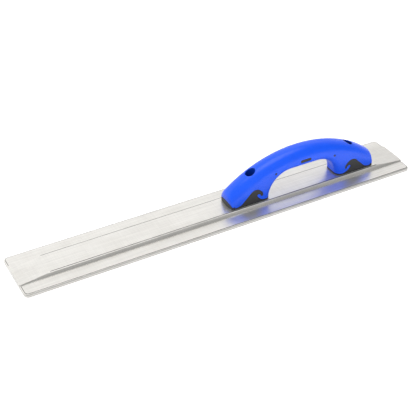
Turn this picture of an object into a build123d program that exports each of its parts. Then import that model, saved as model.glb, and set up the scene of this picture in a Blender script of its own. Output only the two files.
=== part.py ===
from build123d import *
import math
import os

# Magnesium hand float: a long flat blade with a raised spine, and a two-material
# bow handle screwed to the spine nearer one end of the blade.
# Frame: origin at the middle of the blade's flat working face, +X along the blade
# towards the end that the handle sits nearer to, +Y across it, +Z up. Millimetres.

# ---- driving dimensions -------------------------------------------------------
INCH = 25.4

# blade, a magnesium extrusion
BLADE_LENGTH = 22 * INCH
BLADE_WIDTH = 3.125 * INCH
BLADE_THICKNESS = 4.8
BLADE_CORNER_R = 6.0
BLADE_TOP_EDGE_R = 2.0
BLADE_FACE_EDGE_R = 0.6

# raised spine down the middle of the blade
SPINE_HEIGHT = 4.4
SPINE_FLAT_HALF = 16.2
SPINE_SHOULDER_R = 4.5
SPINE_SIDE_ANGLE = 64.0
SPINE_ROOT_R = 0.8
RAMP_LENGTH = 42.0
RAMP_END_HEIGHT = 1.2

# handle outer form, symmetric about HANDLE_X
HANDLE_X = 122.4
HANDLE_HALF_WIDTH = 15.2
HANDLE_TOP_R = 176.0
HANDLE_APEX_Z = 67.3
HANDLE_END = 112.5
HANDLE_END_BOW = 2.2
HANDLE_END_CORNER_R = 2.4
CROWN_R = 13.8
CROWN_BAND = 62.0
OPENING_HALF = 52.5
OPENING_CEILING_Z = 41.9
OPENING_ARCH_R = 32.0
OPENING_ROUND_R = 8.8

# soft grip moulded over the rigid core
GRIP_WALL = 3.0
SOLE_HEIGHT = 1.8
END_CAP_RISE = 8.2
END_CAP_SIDE_RISE = 2.0
END_CAP_DEPTH = 6.0

# pins and windows of the core that show through the sides of the grip
PIN_OFFSET = 45.7
PIN_Z = 44.7
PIN_DIAMETER = 2.8
WINDOW_LENGTH = 16.0
WINDOW_HEIGHT = 4.2
WINDOW_Z = 51.4

# fasteners: quarter inch pan head screws with plain washers
SCREW_SPACING = 6 * INCH
SCREW_DIAMETER = 0.25 * INCH
SCREW_CLEARANCE = 6.8
SCREW_HEAD_DIAMETER = 12.0
SCREW_HEAD_HEIGHT = 3.8
SCREW_HEAD_ROUND = 1.8
SCREW_TIP_CHAMFER = 0.8
RECESS_LENGTH = 6.4
RECESS_WIDTH = 1.3
RECESS_DEPTH = 2.2
TAPPED_DEPTH = 7.0
TAPPED_END_GAP = 0.6
WASHER_DIAMETER = 12.2
WASHER_THICKNESS = 1.2
SEAT_ABOVE_SOLE = 11.0
ACCESS_DIAMETER = 12.8
ACCESS_LINER = 1.6
LINER_FOOT_GAP = 6.0

# ---- derived places -----------------------------------------------------------
HALF_LENGTH = BLADE_LENGTH / 2
HALF_WIDTH = BLADE_WIDTH / 2
SPINE_TOP = BLADE_THICKNESS + SPINE_HEIGHT
SOLE_TOP = SPINE_TOP + SOLE_HEIGHT
SEAT_Z = SPINE_TOP + SEAT_ABOVE_SOLE
TOP_ARC_CENTRE_Z = HANDLE_APEX_Z - HANDLE_TOP_R
SCREW_XS = (HANDLE_X - SCREW_SPACING / 2, HANDLE_X + SCREW_SPACING / 2)
OVERCUT = 2.0
SIDE_PLANE = Plane(origin=(HANDLE_X, 0, 0), x_dir=(1, 0, 0), z_dir=(0, -1, 0))
MIRROR_PLANE = Plane.YZ.offset(HANDLE_X)

# spine side: a rounded shoulder, then a straight slope down to the plate
side_slope = math.radians(SPINE_SIDE_ANGLE)
shoulder_y = SPINE_FLAT_HALF + SPINE_SHOULDER_R * math.sin(side_slope)
shoulder_z = SPINE_TOP - SPINE_SHOULDER_R * (1 - math.cos(side_slope))
spine_root_y = shoulder_y + (shoulder_z - BLADE_THICKNESS) / math.tan(side_slope)

# ---- blade --------------------------------------------------------------------
with BuildPart() as blade:
    with BuildSketch(Plane.YZ) as section:
        with BuildLine():
            Polyline(
                (0, 0),
                (HALF_WIDTH, 0),
                (HALF_WIDTH, BLADE_THICKNESS),
                (spine_root_y, BLADE_THICKNESS),
                (shoulder_y, shoulder_z),
            )
            RadiusArc((shoulder_y, shoulder_z), (SPINE_FLAT_HALF, SPINE_TOP), -SPINE_SHOULDER_R)
            Line((SPINE_FLAT_HALF, SPINE_TOP), (0, SPINE_TOP))
            mirror(about=Plane.YZ)
        make_face()
        fillet(section.vertices().filter_by(lambda v: abs(abs(v.X) - spine_root_y) < 0.01), SPINE_ROOT_R)
    extrude(amount=HALF_LENGTH, both=True)
    fillet(
        blade.edges().filter_by(Axis.Z).filter_by(lambda e: abs(e.center().Y) > HALF_WIDTH - 1),
        BLADE_CORNER_R,
    )
    # the spine is milled down to a thin wedge at both ends
    with BuildSketch(Plane.XZ):
        with BuildLine():
            Polyline(
                (HALF_LENGTH - RAMP_LENGTH, SPINE_TOP),
                (HALF_LENGTH, BLADE_THICKNESS + RAMP_END_HEIGHT),
                (HALF_LENGTH + OVERCUT, BLADE_THICKNESS + RAMP_END_HEIGHT),
                (HALF_LENGTH + OVERCUT, SPINE_TOP + OVERCUT),
                (HALF_LENGTH - RAMP_LENGTH, SPINE_TOP + OVERCUT),
                close=True,
            )
        make_face()
        mirror(about=Plane.YZ)
    extrude(amount=HALF_WIDTH, both=True, mode=Mode.SUBTRACT)
    top_rim = blade.edges().filter_by(
        lambda e: abs(e.center().Z - BLADE_THICKNESS) < 0.01
        and abs(e.center().Y) > HALF_WIDTH - BLADE_TOP_EDGE_R
    )
    fillet(top_rim, BLADE_TOP_EDGE_R)
    fillet(blade.faces().sort_by(Axis.Z)[0].edges(), BLADE_FACE_EDGE_R)
    with Locations(*[(x, 0, SPINE_TOP) for x in SCREW_XS]):
        Hole(radius=SCREW_DIAMETER / 2, depth=TAPPED_DEPTH)
blade.part.label = "blade"


# ---- handle -------------------------------------------------------------------
def bow_body(inset):
    """Bow-shaped handle body standing on the spine, its outer surfaces moved in by inset."""
    half_width = HANDLE_HALF_WIDTH - inset
    opening_half = OPENING_HALF + inset
    arch_r = OPENING_ARCH_R + inset
    ceiling_z = OPENING_CEILING_Z + inset
    top_r = HANDLE_TOP_R - inset
    apex_z = HANDLE_APEX_Z - inset
    end_x = HANDLE_END - inset
    side_end_x = end_x - HANDLE_END_BOW
    rough_end_x = end_x + OVERCUT
    rough_end_z = TOP_ARC_CENTRE_Z + math.sqrt(top_r**2 - rough_end_x**2)
    with BuildPart() as body:
        # side view, with the finger opening
        with BuildSketch(SIDE_PLANE):
            with BuildLine():
                Polyline(
                    (opening_half, ceiling_z - arch_r),
                    (opening_half, SPINE_TOP),
                    (rough_end_x, SPINE_TOP),
                    (rough_end_x, rough_end_z),
                )
                RadiusArc((rough_end_x, rough_end_z), (0, apex_z), -top_r)
                Line((0, ceiling_z), (opening_half - arch_r, ceiling_z))
                RadiusArc(
                    (opening_half - arch_r, ceiling_z),
                    (opening_half, ceiling_z - arch_r),
                    arch_r,
                )
                mirror(about=Plane.YZ)
            make_face()
        extrude(amount=half_width, both=True)
        # plan view: both ends are bowed, with rounded corners
        with BuildSketch(Plane((HANDLE_X, 0, 0))) as plan:
            with BuildLine():
                ThreePointArc((side_end_x, -half_width), (end_x, 0), (side_end_x, half_width))
                Line((side_end_x, half_width), (0, half_width))
                Line((0, -half_width), (side_end_x, -half_width))
                mirror(about=Plane.YZ)
            make_face()
            fillet(
                plan.vertices().filter_by(lambda v: abs(v.X) > side_end_x - 1),
                HANDLE_END_CORNER_R - inset / 2,
            )
        extrude(amount=HANDLE_APEX_Z + OVERCUT, mode=Mode.INTERSECT)
        # rounded edges all round the finger opening
        opening_edges = body.edges().filter_by(
            lambda e: abs(abs(e.center().Y) - half_width) < 0.01
            and abs(e.center().X - HANDLE_X) < opening_half + 1
            and e.center().Z < ceiling_z + 1
        )
        fillet(opening_edges, OPENING_ROUND_R - inset)
        # the crowned back follows the top arc
        with BuildSketch(MIRROR_PLANE) as crown:
            with Locations((0, apex_z)):
                Rectangle(2 * half_width, CROWN_BAND, align=(Align.CENTER, Align.MAX))
            fillet(crown.vertices().group_by(Axis.Z)[-1], CROWN_R - inset)
        revolve(axis=Axis((HANDLE_X, 0, TOP_ARC_CENTRE_Z), (0, 1, 0)), mode=Mode.INTERSECT)
    return body.part


handle_form = bow_body(0)

# Parts of the core that come out to the handle's surface.
with BuildPart() as core_outlets:
    # soles, each with a scroll that curls towards the finger opening
    with BuildSketch(SIDE_PLANE):
        with BuildLine():
            Polyline(
                (60.0, SOLE_TOP),
                (OPENING_HALF - OVERCUT, SOLE_TOP),
                (OPENING_HALF - OVERCUT, SPINE_TOP),
                (HANDLE_END + OVERCUT, SPINE_TOP),
                (HANDLE_END + OVERCUT, SOLE_TOP),
                (103.0, SOLE_TOP),
            )
            ThreePointArc((103.0, SOLE_TOP), (98.0, 12.4), (93.2, 16.2))
            Line((93.2, 16.2), (84.0, 25.2))
            ThreePointArc((84.0, 25.2), (76.0, 29.6), (68.2, 25.8))
            ThreePointArc((68.2, 25.8), (65.4, 22.6), (64.6, 19.0))
            ThreePointArc((64.6, 19.0), (66.2, 17.4), (67.8, 18.8))
            ThreePointArc((67.8, 18.8), (68.8, 20.6), (70.6, 21.6))
            ThreePointArc((70.6, 21.6), (73.2, 20.8), (73.0, 18.4))
            ThreePointArc((73.0, 18.4), (68.0, 13.2), (60.0, SOLE_TOP))
        make_face()
        mirror(about=Plane.YZ)
    extrude(amount=HANDLE_HALF_WIDTH + OVERCUT, both=True)
    # arched caps on the outer ends of the feet
    with BuildSketch(Plane.YZ.offset(HANDLE_X + HANDLE_END - END_CAP_DEPTH)):
        with BuildLine():
            ThreePointArc(
                (-HANDLE_HALF_WIDTH - OVERCUT, SPINE_TOP + END_CAP_SIDE_RISE),
                (0, SPINE_TOP + END_CAP_RISE),
                (HANDLE_HALF_WIDTH + OVERCUT, SPINE_TOP + END_CAP_SIDE_RISE),
            )
            Polyline(
                (HANDLE_HALF_WIDTH + OVERCUT, SPINE_TOP + END_CAP_SIDE_RISE),
                (HANDLE_HALF_WIDTH + OVERCUT, SPINE_TOP),
                (-HANDLE_HALF_WIDTH - OVERCUT, SPINE_TOP),
                (-HANDLE_HALF_WIDTH - OVERCUT, SPINE_TOP + END_CAP_SIDE_RISE),
            )
        make_face()
    extrude(amount=END_CAP_DEPTH + OVERCUT)
    mirror(about=MIRROR_PLANE)
    # round pins, and a plain window in the middle of each side
    with BuildSketch(SIDE_PLANE):
        with Locations((-PIN_OFFSET, PIN_Z), (PIN_OFFSET, PIN_Z)):
            Circle(PIN_DIAMETER / 2)
        with Locations((0, WINDOW_Z)):
            SlotOverall(WINDOW_LENGTH, WINDOW_HEIGHT)
    extrude(amount=HANDLE_HALF_WIDTH + OVERCUT, both=True)
    add(handle_form, mode=Mode.INTERSECT)

with BuildPart() as handle_core:
    add(bow_body(GRIP_WALL))
    add(core_outlets.part)
    with Locations(*[(x, 0, HANDLE_APEX_Z) for x in SCREW_XS]):
        CounterBoreHole(
            radius=SCREW_CLEARANCE / 2,
            counter_bore_radius=ACCESS_DIAMETER / 2,
            counter_bore_depth=HANDLE_APEX_Z - SEAT_Z,
        )
        Hole(
            radius=ACCESS_DIAMETER / 2 + ACCESS_LINER,
            depth=HANDLE_APEX_Z - SEAT_Z - LINER_FOOT_GAP,
        )
handle_core.part.label = "handle_core"

# The grip fills the space between the core and the outer form, and lines the wells.
with BuildPart() as handle_grip:
    add(handle_form)
    add(handle_core.part, mode=Mode.SUBTRACT)
    with Locations(*[(x, 0, HANDLE_APEX_Z) for x in SCREW_XS]):
        Hole(radius=ACCESS_DIAMETER / 2)
handle_grip.part.label = "handle_grip"

# ---- fasteners ----------------------------------------------------------------
os.makedirs("parts", exist_ok=True)
export_step(blade.part, "parts/blade.step")
export_step(handle_core.part, "parts/handle_core.step")
export_step(handle_grip.part, "parts/handle_grip.step")

head_base_z = SEAT_Z + WASHER_THICKNESS
screw_tip_z = SPINE_TOP - TAPPED_DEPTH + TAPPED_END_GAP

for end_name, screw_x in zip(("long_end", "short_end"), SCREW_XS):
    with BuildPart() as screw:
        with BuildSketch(Plane((screw_x, 0, head_base_z))):
            Circle(SCREW_HEAD_DIAMETER / 2)
        extrude(amount=SCREW_HEAD_HEIGHT)
        fillet(screw.edges().group_by(Axis.Z)[-1], SCREW_HEAD_ROUND)
        with BuildSketch(Plane((screw_x, 0, screw_tip_z))):
            Circle(SCREW_DIAMETER / 2)
        extrude(amount=head_base_z - screw_tip_z)
        chamfer(screw.edges().group_by(Axis.Z)[0], SCREW_TIP_CHAMFER)
        with BuildSketch(Plane((screw_x, 0, head_base_z + SCREW_HEAD_HEIGHT))):
            Rectangle(RECESS_LENGTH, RECESS_WIDTH)
            Rectangle(RECESS_WIDTH, RECESS_LENGTH)
        extrude(amount=-RECESS_DEPTH, mode=Mode.SUBTRACT)
    screw.part.label = end_name + "_screw"
    export_step(screw.part, "parts/" + end_name + "_screw.step")

    with BuildPart() as washer:
        with BuildSketch(Plane((screw_x, 0, SEAT_Z))):
            Circle(WASHER_DIAMETER / 2)
            Circle(SCREW_CLEARANCE / 2, mode=Mode.SUBTRACT)
        extrude(amount=WASHER_THICKNESS)
    washer.part.label = end_name + "_washer"
    export_step(washer.part, "parts/" + end_name + "_washer.step")
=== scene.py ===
import math

import bmesh
import bpy
import numpy as np
from mathutils import Matrix, Vector


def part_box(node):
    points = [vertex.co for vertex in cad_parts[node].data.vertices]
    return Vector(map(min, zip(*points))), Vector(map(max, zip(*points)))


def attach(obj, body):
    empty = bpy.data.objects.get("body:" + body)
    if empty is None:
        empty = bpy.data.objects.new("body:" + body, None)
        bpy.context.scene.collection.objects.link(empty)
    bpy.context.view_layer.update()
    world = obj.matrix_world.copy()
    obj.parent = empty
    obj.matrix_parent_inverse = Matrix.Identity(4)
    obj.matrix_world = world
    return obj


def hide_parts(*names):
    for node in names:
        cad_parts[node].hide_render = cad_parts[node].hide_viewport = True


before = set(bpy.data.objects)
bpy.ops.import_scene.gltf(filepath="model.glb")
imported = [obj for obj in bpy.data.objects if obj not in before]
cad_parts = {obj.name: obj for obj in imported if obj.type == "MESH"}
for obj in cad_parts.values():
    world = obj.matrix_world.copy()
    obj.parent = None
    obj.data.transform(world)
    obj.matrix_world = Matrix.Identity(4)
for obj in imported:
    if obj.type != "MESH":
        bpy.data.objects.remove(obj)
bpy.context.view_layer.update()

# ---- materials ----------------------------------------------------------------
NOISE_ROUGHNESS = 0.55
# painted shade in the grip's screw bores: how dark it is, and how far past the bore's radius it reaches
PAINTED_BORE_SHADE = 0.42
BORE_SHADE_MARGIN = 1.03

# painted shade on the magnesium by the upward part of its surface direction: its upright edges
# and steep slopes are painted darker, and the shoulder of the spine gets a painted dark reflection line
PAINTED_SLOPE_SHADE = (
    (0.0, 0.76),
    (0.25, 0.62),
    (0.5, 0.84),
    (0.72, 1.0),
    (0.91, 1.0),
    (0.94, 0.05),
    (0.992, 0.05),
    (0.9952, 1.0),
)


class Nodes:
    """A node tree, with short ways to add what the materials and the sky are made of."""

    def __init__(self, tree):
        self.nodes = tree.nodes
        self.links = tree.links

    def node(self, kind, inputs=(), **settings):
        made = self.nodes.new(kind)
        for key, value in settings.items():
            setattr(made, key, value)
        for socket, value in dict(inputs).items():
            if isinstance(value, bpy.types.NodeSocket):
                self.links.new(value, made.inputs[socket])
            else:
                made.inputs[socket].default_value = value
        return made

    def ramp(self, value, stops):
        """A colour ramp of (position, grey or colour) stops."""
        made = self.node("ShaderNodeValToRGB", {"Fac": value})
        elements = made.color_ramp.elements
        while len(elements) < len(stops):
            elements.new(0.5)
        for element, (position, colour) in zip(elements, stops):
            element.position = position
            element.color = (*colour, 1) if hasattr(colour, "__len__") else (colour, colour, colour, 1)
        return made.outputs["Color"]

    def mix(self, share, first, second, blend="MIX"):
        made = self.node("ShaderNodeMix", data_type="RGBA", blend_type=blend)
        for socket, value in ((0, share), (6, first), (7, second)):
            if isinstance(value, bpy.types.NodeSocket):
                self.links.new(value, made.inputs[socket])
            else:
                made.inputs[socket].default_value = (*value, 1) if hasattr(value, "__len__") else value
        return made.outputs[2]

    def math(self, operation, first, second=0.0):
        return self.node("ShaderNodeMath", {0: first, 1: second}, operation=operation).outputs[0]


class Shader(Nodes):
    """A node material around one Principled shader, whose constants are set on its own sockets."""

    def __init__(self, name, **constants):
        self.material = bpy.data.materials.new(name)
        self.material.use_nodes = True
        super().__init__(self.material.node_tree)
        self.surface = self.nodes["Principled BSDF"]
        for socket, value in constants.items():
            self.surface.inputs[socket.replace("_", " ")].default_value = value
        self.place = self.node("ShaderNodeTexCoord").outputs["Object"]

    def noise(self, stretch, detail=4.0, seed=0.0):
        """Noise between 0 and 1, with a grain of about 1 / stretch metres along each axis."""
        place = self.node("ShaderNodeMapping", {0: self.place, 1: (seed, seed, seed), 3: stretch})
        return self.node(
            "ShaderNodeTexNoise",
            {"Vector": place.outputs[0], "Scale": 1.0, "Detail": detail, "Roughness": NOISE_ROUGHNESS},
        ).outputs["Fac"]

    def bump(self, height, distance, strength):
        inputs = {"Height": height, "Distance": distance, "Strength": strength}
        return self.node("ShaderNodeBump", inputs).outputs["Normal"]

    def set(self, socket, value):
        self.links.new(value, self.surface.inputs[socket])


def magnesium():
    """Ground magnesium: brushed both ways, with painted shade on its edges and a painted dark reflection
    line on the shoulder.
    """
    shader = Shader("magnesium_brushed", Metallic=0.86, Anisotropic=0.3)
    streaks = shader.noise((14, 700, 700), detail=5)
    crossing = shader.noise((1300, 26, 26), detail=4, seed=11)
    fine = shader.noise((420, 1500, 1500), detail=3, seed=3)
    mottle = shader.noise((38, 60, 60), detail=4, seed=7)
    tone = shader.ramp(streaks, ((0.3, (0.755, 0.741, 0.706)), (0.7, (0.86, 0.843, 0.807))))
    clouds = shader.ramp(mottle, ((0.35, (0.95, 0.945, 0.94)), (0.65, (1.0, 1.0, 1.0))))
    scratches = shader.ramp(crossing, ((0.3, 0.93), (0.62, 1.0)))
    finish = shader.mix(1.0, shader.mix(1.0, tone, clouds, "MULTIPLY"), scratches, "MULTIPLY")
    # painted shade by surface direction: darker upright edges and slopes, and a painted dark reflection
    # line along the spine's shoulder
    facing = shader.node("ShaderNodeNewGeometry").outputs["Normal"]
    upright = shader.node("ShaderNodeSeparateXYZ", {0: facing}).outputs["Z"]
    slope = shader.ramp(upright, PAINTED_SLOPE_SHADE)
    shader.set("Base Color", shader.mix(1.0, finish, slope, "MULTIPLY"))
    shader.set("Roughness", shader.ramp(fine, ((0.25, 0.27), (0.75, 0.38))))
    tangent = shader.node("ShaderNodeTangent", direction_type="RADIAL", axis="X")
    shader.set("Tangent", tangent.outputs[0])
    shader.set("Normal", shader.bump(fine, 0.00002, 0.5))
    return shader.material


def moulded(name, dark, light, roughness, grain, painted_bore_shade=None):
    """Moulded plastic, finely textured, with painted shade inside the screw bores at (middle, distance
    from it, radius).
    """
    shader = Shader(name, Specular_IOR_Level=0.45)
    clouds = shader.noise((90, 90, 90), detail=3)
    pores = shader.noise((2600, 2600, 2600), detail=1, seed=5)
    colour = shader.mix(clouds, dark, light)
    # painted shade: the plastic is painted darker inside the screw bores, where shade falls
    if painted_bore_shade is not None:
        middle, offset, radius = painted_bore_shade
        at = shader.node("ShaderNodeSeparateXYZ", {0: shader.place}).outputs
        from_middle = shader.math("ABSOLUTE", shader.math("SUBTRACT", at["X"], middle))
        along = shader.math("SUBTRACT", from_middle, offset)
        along_squared = shader.math("MULTIPLY", along, along)
        across_squared = shader.math("MULTIPLY", at["Y"], at["Y"])
        from_axis = shader.math("SQRT", shader.math("ADD", along_squared, across_squared))
        in_painted_bore_shade = shader.math("LESS_THAN", from_axis, radius)
        colour = shader.mix(in_painted_bore_shade, colour, tuple(PAINTED_BORE_SHADE * part for part in dark))
    shader.set("Base Color", colour)
    shader.set("Roughness", shader.ramp(pores, ((0.3, roughness - 0.05), (0.7, roughness + 0.05))))
    shader.set("Normal", shader.bump(pores, grain, 0.35))
    return shader.material


def plated_steel(name, tint):
    shader = Shader(name, Metallic=1.0)
    spots = shader.noise((500, 500, 500), detail=3)
    shader.set("Base Color", shader.mix(spots, tint, tuple(0.8 * part for part in tint)))
    shader.set("Roughness", shader.ramp(spots, ((0.3, 0.25), (0.7, 0.4))))
    shader.set("Normal", shader.bump(spots, 0.00003, 0.3))
    return shader.material


# ---- handle -------------------------------------------------------------------
MM = 0.001

grip_low, grip_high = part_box("handle_grip")
handle_x = (grip_low.x + grip_high.x) / 2
handle_end = (grip_high.x - grip_low.x) / 2
handle_half_width = (grip_high.y - grip_low.y) / 2
handle_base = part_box("handle_core")[0].z
handle_apex = grip_high.z
well_offset = (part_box("short_end_screw")[0].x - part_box("long_end_screw")[0].x) / 2

TOP_R = 176 * MM
CROWN_R = 13.8 * MM
END_BOW = 2.2 * MM
BROW_R = 3.2 * MM
FOOT_CORNER_R = 0.9 * MM
BROW_START_Z = 15 * MM
BROW_FULL_Z = 27 * MM
OPENING_HALF = 52.5 * MM
OPENING_CEILING = 41.9 * MM
OPENING_ARCH_R = 32 * MM
OPENING_ROUND_R = 8.8 * MM
WELL_R = 6.4 * MM
WELL_LIP_R = 0.8 * MM
LINER_R = 8 * MM
GRIP_WALL = 3 * MM
UNDER_SOLE = 1.6 * MM
SKIN_STEP = 0.85 * MM
CAVITY_STEP = 1.36 * MM
PARTING_GAP = 0.28 * MM
MARGIN = 3 * MM
RELAXING_TURNS = 4
PULLING_TURNS = 3
RELAXING_SHARE = 0.5
LEAST_STEEPNESS = 0.2
SHARP_EDGE = math.radians(35)
ROUND_STEPS = 32


def round_both(first, second, radius):
    """Where both fields are negative, with the edge between them rounded to radius."""
    corner = np.hypot(np.maximum(first + radius, 0), np.maximum(second + radius, 0))
    return np.minimum(np.maximum(first, second), -radius) + corner


def bow_form(x, y, z):
    """Signed distance to the handle's outer form, as if it went on below the soles."""
    along, across = np.abs(x - handle_x), np.abs(y)
    top = np.hypot(along, z - (handle_apex - TOP_R)) - TOP_R
    side = across - handle_half_width
    bow_r = (handle_half_width**2 + END_BOW**2) / (2 * END_BOW)
    end = np.hypot(np.maximum(along - (handle_end - bow_r), 0), across) - bow_r
    arch_x = along - (OPENING_HALF - OPENING_ARCH_R)
    arch_z = z - (OPENING_CEILING - OPENING_ARCH_R)
    beyond = np.hypot(np.maximum(arch_x, 0), np.maximum(arch_z, 0)) - OPENING_ARCH_R
    opening = -np.where(
        (arch_x > 0) | (arch_z > 0), beyond, np.maximum(arch_x, arch_z) - OPENING_ARCH_R
    )
    rise = np.clip((z - BROW_START_Z) / (BROW_FULL_Z - BROW_START_Z), 0, 1)
    brow = FOOT_CORNER_R + (BROW_R - FOOT_CORNER_R) * rise
    form = round_both(round_both(top, side, CROWN_R), end, brow)
    return round_both(form, opening, OPENING_ROUND_R)


def well(x, y, z, radius):
    """Signed distance to the two upright screw wells."""
    return np.hypot(np.abs(x - handle_x) - well_offset, y) - radius


def grip_outside(x, y, z):
    drilled = round_both(bow_form(x, y, z), -well(x, y, z, WELL_R), WELL_LIP_R)
    return np.maximum(drilled, handle_base - UNDER_SOLE - z)


def grip_inside(x, y, z):
    lined = np.maximum(bow_form(x, y, z) + GRIP_WALL, -well(x, y, z, LINER_R))
    return np.maximum(lined, handle_base - UNDER_SOLE / 2 - z)


def skin(name, field, low, high, step):
    """A closed mesh of quads on the zero level of field, in the box from low to high."""
    counts = [int(math.ceil((b - a) / step)) + 1 for a, b in zip(low, high)]
    axes = [np.linspace(a, b, n) for a, b, n in zip(low, high, counts)]
    grid = np.meshgrid(*axes, indexing="ij")
    value = field(*grid)
    inside = value < 0
    cells = tuple(n - 1 for n in counts)
    total = np.zeros((*cells, 3))
    hits = np.zeros(cells)
    quads = []
    cell_number = np.arange(np.prod(cells)).reshape(cells)
    for axis in range(3):
        near = [slice(None)] * 3
        far = [slice(None)] * 3
        near[axis], far[axis] = slice(0, -1), slice(1, None)
        near, far = tuple(near), tuple(far)
        crossed = inside[near] != inside[far]
        crossed_at = np.argwhere(crossed)
        first, second = value[near][crossed], value[far][crossed]
        share = first / (first - second)
        point = np.stack([grid[k][near][crossed] for k in range(3)], 1)
        point[:, axis] += share * (axes[axis][1] - axes[axis][0])
        others = [k for k in range(3) if k != axis]
        ring = []
        for a, b in ((0, 0), (1, 0), (1, 1), (0, 1)):
            cell = crossed_at.copy()
            cell[:, others[0]] -= a
            cell[:, others[1]] -= b
            where = tuple(cell.T)
            np.add.at(total, where, point)
            np.add.at(hits, where, 1)
            ring.append(cell_number[where])
        ring = np.stack(ring, 1)
        leaving = inside[near][crossed] == (axis != 1)
        ring[~leaving] = ring[~leaving][:, ::-1]
        quads.append(ring)
    quads = np.concatenate(quads)
    used = np.flatnonzero(hits.ravel())
    renumber = np.zeros(hits.size, int)
    renumber[used] = np.arange(len(used))
    quads = renumber[quads]
    points = total.reshape(-1, 3)[used] / hits.ravel()[used][:, None]
    starts = quads.ravel()
    ends = np.roll(quads, -1, 1).ravel()
    degree = np.bincount(starts, minlength=len(points)) + np.bincount(ends, minlength=len(points))
    small = step / 50
    for turn in range(RELAXING_TURNS + PULLING_TURNS):
        if turn < RELAXING_TURNS:
            around = np.zeros_like(points)
            np.add.at(around, starts, points[ends])
            np.add.at(around, ends, points[starts])
            points = points + RELAXING_SHARE * (around / degree[:, None] - points)
        level = field(*points.T)
        slope = np.stack(
            [
                (field(*(points + shift).T) - field(*(points - shift).T)) / (2 * small)
                for shift in np.eye(3) * small
            ],
            1,
        )
        steepness = np.maximum((slope**2).sum(1), LEAST_STEEPNESS)
        points = points - slope * (level / steepness)[:, None]
    mesh = bpy.data.meshes.new(name)
    mesh.from_pydata(points.tolist(), [], quads.tolist())
    mesh.validate()
    return mesh


def arc(start, through, end, steps=10):
    """Points after start along the circular arc from start through a point to end."""
    (ax, ay), (bx, by), (cx, cy) = start, through, end
    double = 2 * (ax * (by - cy) + bx * (cy - ay) + cx * (ay - by))
    squares = ax * ax + ay * ay, bx * bx + by * by, cx * cx + cy * cy
    mid_x = (squares[0] * (by - cy) + squares[1] * (cy - ay) + squares[2] * (ay - by)) / double
    mid_y = (squares[0] * (cx - bx) + squares[1] * (ax - cx) + squares[2] * (bx - ax)) / double
    radius = math.hypot(ax - mid_x, ay - mid_y)
    first, middle, last = [math.atan2(y - mid_y, x - mid_x) for x, y in (start, through, end)]
    sweep = (last - first) % (2 * math.pi)
    if (middle - first) % (2 * math.pi) > sweep:
        sweep -= 2 * math.pi
    angles = [first + sweep * k / steps for k in range(1, steps + 1)]
    return [(mid_x + radius * math.cos(angle), mid_y + radius * math.sin(angle)) for angle in angles]


def angles_round(offset=0.0):
    """Angles evenly round a circle, the first one offset steps from zero."""
    return [2 * math.pi * (k + offset) / ROUND_STEPS for k in range(ROUND_STEPS)]


def widened(outline, gap):
    """A closed outline with each point moved outwards by gap."""
    area = sum(a[0] * b[1] - b[0] * a[1] for a, b in zip(outline, outline[1:] + outline[:1]))
    sign = 1 if area > 0 else -1
    moved = []
    for before, here, after in zip(outline[-1:] + outline[:-1], outline, outline[1:] + outline[:1]):
        sides = Vector(here) - Vector(before), Vector(after) - Vector(here)
        directions = [side.normalized() for side in sides]
        normals = [Vector((v.y, -v.x)) * sign for v in directions]
        middle = (normals[0] + normals[1]).normalized()
        moved.append(tuple(Vector(here) + middle * gap / max(middle.dot(normals[0]), 0.5)))
    return moved


def prism(bm, outline, place, depth):
    """Adds a prism to bm: place turns each outline point and a distance through it into a corner."""
    rings = [[bm.verts.new(place(a, b, d)) for a, b in outline] for d in depth]
    bm.faces.new(rings[0])
    bm.faces.new(rings[1][::-1])
    for k in range(len(outline)):
        n = (k + 1) % len(outline)
        bm.faces.new((rings[0][n], rings[0][k], rings[1][k], rings[1][n]))


# the core's outlets in millimetres, in the side view: distance from the handle's middle, height
SOLE_TOP = 11.0
CUT_UNDER = 5.0
SCROLL_FOOT = (60.0, SOLE_TOP)
scroll = [
    SCROLL_FOOT,
    (47.0, SOLE_TOP),
    (47.0, CUT_UNDER),
    (116.0, CUT_UNDER),
    (116.0, SOLE_TOP),
    (103.0, SOLE_TOP),
]
scroll += arc((103.0, SOLE_TOP), (98.0, 12.4), (93.2, 16.2))
scroll += [(84.0, 25.2)]
scroll += arc((84.0, 25.2), (76.0, 29.6), (68.2, 25.8))
scroll += arc((68.2, 25.8), (65.4, 22.6), (64.6, 19.0))
scroll += arc((64.6, 19.0), (66.2, 17.4), (67.8, 18.8))
scroll += arc((67.8, 18.8), (68.8, 20.6), (70.6, 21.6))
scroll += arc((70.6, 21.6), (73.2, 20.8), (73.0, 18.4))
scroll += arc((73.0, 18.4), (68.0, 13.2), SCROLL_FOOT)[:-1]
PIN_ALONG = 45.7
PIN_Z = 44.7
PIN_R = 1.4
pin = [(PIN_ALONG + PIN_R * math.cos(angle), PIN_Z + PIN_R * math.sin(angle)) for angle in angles_round()]
WINDOW_Z = 51.4
WINDOW_HALF = 5.9
WINDOW_R = 2.1
window = [
    (
        math.copysign(WINDOW_HALF, math.cos(angle)) + WINDOW_R * math.cos(angle),
        WINDOW_Z + WINDOW_R * math.sin(angle),
    )
    for angle in angles_round(0.5)
]
CAP_RISE = 8.2
CAP_SIDE_RISE = 2.0
CAP_DEPTH = 6.0
CAP_OVERHANG = 2.0
base_mm = handle_base / MM
half_mm = handle_half_width / MM + CAP_OVERHANG
cap = [(-half_mm, base_mm + CAP_SIDE_RISE)]
cap += arc(cap[0], (0, base_mm + CAP_RISE), (half_mm, base_mm + CAP_SIDE_RISE), ROUND_STEPS)
cap += [(half_mm, CUT_UNDER), (-half_mm, CUT_UNDER)]
SIDE_REACH = 20.0


def side_prism(bm, outline, side):
    points = widened(outline, PARTING_GAP / MM)
    prism(
        bm,
        points,
        lambda along, up, across: Vector((handle_x + side * along * MM, across * MM, up * MM)),
        (-SIDE_REACH, SIDE_REACH),
    )


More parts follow.
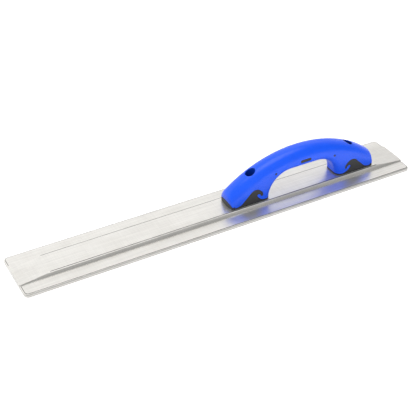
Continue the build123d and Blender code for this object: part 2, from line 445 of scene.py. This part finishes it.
def end_prism(bm, side):
    inner = handle_end / MM - CAP_DEPTH - PARTING_GAP / MM
    prism(
        bm,
        widened(cap, PARTING_GAP / MM),
        lambda across, up, along: Vector((handle_x + side * along * MM, across * MM, up * MM)),
        (inner, handle_end / MM + SIDE_REACH),
    )


def cutter(name, build):
    bm = bmesh.new()
    build(bm)
    bmesh.ops.recalc_face_normals(bm, faces=bm.faces)
    mesh = bpy.data.meshes.new(name)
    bm.to_mesh(mesh)
    bm.free()
    return link(name, mesh)


def link(name, mesh):
    made = bpy.data.objects.new(name, mesh)
    bpy.context.scene.collection.objects.link(made)
    return made


def cut(target, cutters):
    """Takes each cutter away from target's mesh, then deletes it."""
    for tool in cutters:
        modifier = target.modifiers.new("cut", "BOOLEAN")
        modifier.operation = "DIFFERENCE"
        modifier.solver = "EXACT"
        modifier.object = tool
        evaluated = target.evaluated_get(bpy.context.evaluated_depsgraph_get())
        shape = bpy.data.meshes.new_from_object(evaluated)
        target.modifiers.clear()
        target.data = shape
        bpy.data.objects.remove(tool)


def side_cutters(bm):
    for side in (-1, 1):
        side_prism(bm, scroll, side)
        side_prism(bm, pin, side)
    side_prism(bm, window, 1)


def end_cutters(bm):
    for side in (-1, 1):
        end_prism(bm, side)


low_corner = (grip_low.x - MARGIN, -handle_half_width - MARGIN, handle_base - MARGIN)
high_corner = (grip_high.x + MARGIN, handle_half_width + MARGIN, handle_apex + MARGIN)
grip = link("grip_cover", skin("grip_cover", grip_outside, low_corner, high_corner, SKIN_STEP))
cavity = link("cavity", skin("cavity", grip_inside, low_corner, high_corner, CAVITY_STEP))
cut(grip, [cavity, cutter("side_outlets", side_cutters), cutter("end_outlets", end_cutters)])

for face in grip.data.polygons:
    face.use_smooth = True
grip.data.set_sharp_from_angle(angle=SHARP_EDGE)
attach(grip, "root")
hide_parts("handle_grip")

finishes = {
    "blade": magnesium(),
    "handle_grip": moulded(
        "grip_blue", (0.0005, 0.086, 0.88), (0.002, 0.104, 0.96), 0.3, 0.00004,
        painted_bore_shade=(handle_x, well_offset, BORE_SHADE_MARGIN * WELL_R),
    ),
    "handle_core": moulded("core_black", (0.022, 0.023, 0.025), (0.03, 0.031, 0.033), 0.5, 0.00005),
    "screw": plated_steel("screw_zinc", (0.70, 0.72, 0.75)),
    "washer": plated_steel("washer_zinc", (0.66, 0.68, 0.7)),
}
grip.data.materials.clear()
grip.data.materials.append(finishes["handle_grip"])
for node_name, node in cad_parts.items():
    kind = node_name.rsplit("_", 1)[-1] if node_name.endswith(("screw", "washer")) else node_name
    node.data.materials.clear()
    node.data.materials.append(finishes[kind])

# ---- studio -------------------------------------------------------------------
FLOOR_HALF = 6.0
KEY_ENERGY = 0.8
KEY_ANGLE = math.radians(60)
KEY_FROM = Vector((-0.4, -1.0, 0.9))
BACK_BLEND = 0.2

# grey of the sky by elevation in degrees, towards the back and towards the front
SKY_BANDS = {
    "back": ((0, 0.9), (12, 1.0), (24, 1.2), (42, 1.15), (48, 0.4), (58, 0.3), (64, 2.4), (90, 2.4)),
    "front": ((0, 0.45), (30, 0.45), (50, 0.4), (68, 0.45), (77, 2.2), (90, 2.4)),
}
# grey by direction X, which multiplies the bands
SKY_SIDES = ((-1, 1.15), (0.25, 1.1), (0.38, 1.04), (0.54, 0.95), (0.66, 0.7), (1, 0.6))

corners = [(x * FLOOR_HALF, y * FLOOR_HALF, 0) for x, y in ((-1, -1), (1, -1), (1, 1), (-1, 1))]
floor_mesh = bpy.data.meshes.new("floor")
floor_mesh.from_pydata(corners, [], [(0, 1, 2, 3)])
floor = link("floor", floor_mesh)
paint = Shader("floor_paint", Roughness=0.9, Specular_IOR_Level=0.1, Emission_Strength=0.35)
paint.surface.inputs["Base Color"].default_value = (0.9, 0.9, 0.9, 1)
paint.surface.inputs["Emission Color"].default_value = (1, 1, 1, 1)
floor_mesh.materials.append(paint.material)


def sky(name, bands, sides):
    """A soft studio: grey by elevation towards the back and the front, times a grey by direction X."""
    world = bpy.data.worlds.new(name)
    bpy.context.scene.world = world
    world.use_nodes = True
    tree = Nodes(world.node_tree)
    direction = tree.node("ShaderNodeTexCoord").outputs["Generated"]
    split = tree.node("ShaderNodeSeparateXYZ", {0: direction}).outputs

    def share(value, low, high):
        span = tree.node("ShaderNodeMapRange", {"Value": value, "From Min": low, "From Max": high})
        return span.outputs[0]

    heights = {
        side: tree.ramp(split["Z"], [(math.sin(math.radians(e)), grey) for e, grey in stops])
        for side, stops in bands.items()
    }
    to_back = share(split["Y"], -BACK_BLEND, BACK_BLEND)
    around = tree.mix(to_back, heights["front"], heights["back"])
    shade = tree.ramp(share(split["X"], -1.0, 1.0), [(0.5 + x / 2, grey) for x, grey in sides])
    total = tree.mix(1.0, around, shade, "MULTIPLY")
    tree.links.new(total, tree.nodes["Background"].inputs["Color"])


sky("studio", SKY_BANDS, SKY_SIDES)
key_light = link("key_light", bpy.data.lights.new("key_light", "SUN"))
key_light.data.energy = KEY_ENERGY
key_light.data.angle = KEY_ANGLE
key_light.rotation_euler = KEY_FROM.to_track_quat("Z", "Y").to_euler()
key_light.visible_glossy = False

# ---- camera -------------------------------------------------------------------
CAMERA_AZIMUTH = math.radians(-28.58)
CAMERA_ELEVATION = math.radians(36.0)
CAMERA_ROLL = math.radians(-0.13)
CAMERA_DISTANCE = 1.2958
CAMERA_AIM = Vector((-0.0102, 0.0101, 0.005))
CAMERA_LENS = 86.19

towards = Vector((
    math.sin(CAMERA_AZIMUTH) * math.cos(CAMERA_ELEVATION),
    -math.cos(CAMERA_AZIMUTH) * math.cos(CAMERA_ELEVATION),
    math.sin(CAMERA_ELEVATION),
))
camera = link("camera", bpy.data.cameras.new("camera"))
camera.data.lens = CAMERA_LENS
camera.matrix_world = (
    Matrix.Translation(CAMERA_AIM + towards * CAMERA_DISTANCE)
    @ towards.to_track_quat("Z", "Y").to_matrix().to_4x4()
    @ Matrix.Rotation(CAMERA_ROLL, 4, "Z")
)
bpy.context.scene.camera = camera
bpy.context.scene.view_settings.view_transform = "Standard"
